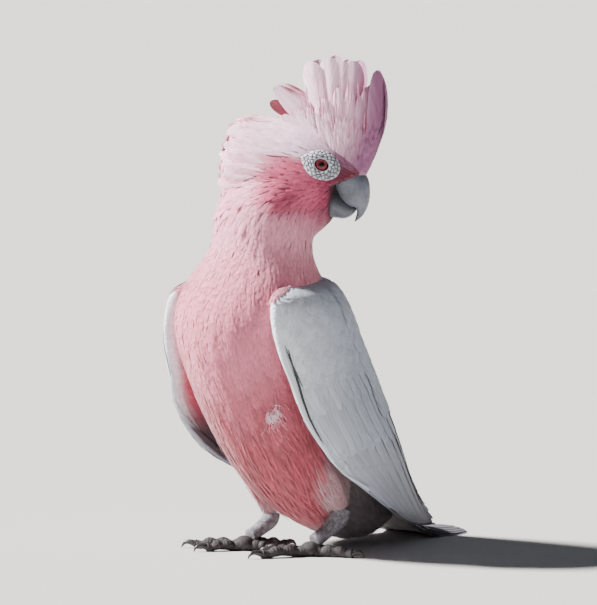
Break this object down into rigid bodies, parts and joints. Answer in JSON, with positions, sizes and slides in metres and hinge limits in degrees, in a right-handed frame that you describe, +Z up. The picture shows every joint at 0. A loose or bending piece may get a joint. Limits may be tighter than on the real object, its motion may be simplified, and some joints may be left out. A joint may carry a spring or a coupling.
{
  "type": "galah",
  "caption": "Life-size still model of a standing galah, rose-breasted grey cockatoo, crest raised and head turned over its left shoulder.",
  "frame": {"origin": "on the floor, under the middle of the bird's box", "axes": "+Z up; the body faces -Y, its own left is +X, the tail lies towards +Y"},
  "size_m": [0.1343, 0.2386, 0.326],
  "materials": {
    "plumage_rose": "soft matte feathers, rose pink",
    "plumage_pale": "soft matte feathers, pale pink",
    "plumage_grey": "soft matte feathers, pale grey",
    "plumage_slate": "matte flight feathers, dark grey",
    "horn": "satin horn, bone to grey",
    "scales": "dry scaly skin, dark grey",
    "claw": "satin horn, black",
    "bare_skin": "warty bare skin, pale grey",
    "eye": "wet gloss, red-pink iris"
  },
  "bodies": {
    "root": {"bill_lower": "horn", "bill_upper": "horn", "claw_inner_front_left": "claw", "claw_inner_front_right": "claw", "claw_inner_hind_left": "claw", "claw_inner_hind_right": "claw", "claw_outer_front_left": "claw", "claw_outer_front_right": "claw", "claw_outer_hind_left": "claw", "claw_outer_hind_right": "claw", "crest": "plumage_pale", "eye_left": "eye", "eye_right": "eye", "eye_ring_left": "bare_skin", "eye_ring_right": "bare_skin", "head": "plumage_rose", "neck": "plumage_rose", "shank_left": "scales", "shank_right": "scales", "shin_left": "plumage_grey", "shin_right": "plumage_grey", "sole_left": "scales", "sole_right": "scales", "tail": "plumage_slate", "toe_inner_front_left": "scales", "toe_inner_front_right": "scales", "toe_inner_hind_left": "scales", "toe_inner_hind_right": "scales", "toe_outer_front_left": "scales", "toe_outer_front_right": "scales", "toe_outer_hind_left": "scales", "toe_outer_hind_right": "scales", "trunk": "plumage_rose", "wing_left": "plumage_grey", "wing_right": "plumage_grey"}
  },
  "joints": []
}
